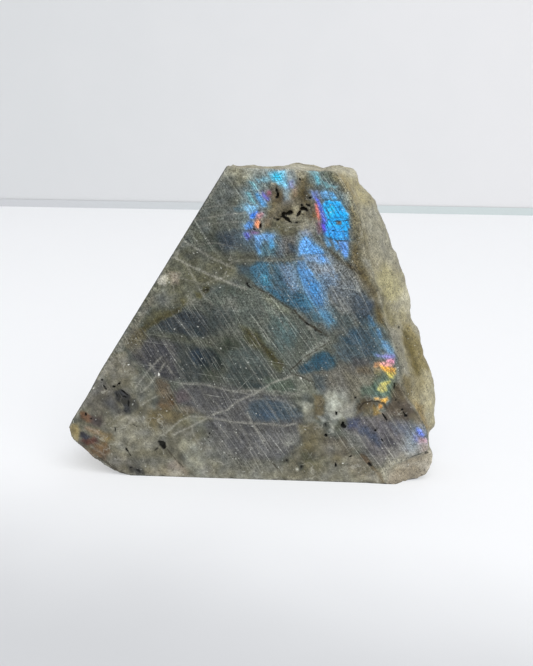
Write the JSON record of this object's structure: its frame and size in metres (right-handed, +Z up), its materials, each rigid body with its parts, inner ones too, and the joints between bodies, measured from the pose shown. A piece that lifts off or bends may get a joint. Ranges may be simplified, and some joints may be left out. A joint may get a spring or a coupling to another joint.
{
  "type": "labradorite slice",
  "caption": "Upright slab of rough-sawn labradorite with flat sawn faces, a natural crust down one side, a worn tip and a flat base to stand on.",
  "frame": {"origin": "under the middle of the stone, at the height of the surface that it stands on", "axes": "+Z up, +X to the right along the broad face, +Y from the broad face that the picture shows to the back"},
  "size_m": [0.0926, 0.02, 0.0778],
  "materials": {
    "labradorite": "sawn grey-green feldspar, unpolished but slightly glossy, with a blue, violet and gold flash in patches, black inclusions, fine saw lines, and a beige crust"
  },
  "bodies": {
    "root": {"labradorite_slice": "labradorite"}
  },
  "joints": []
}
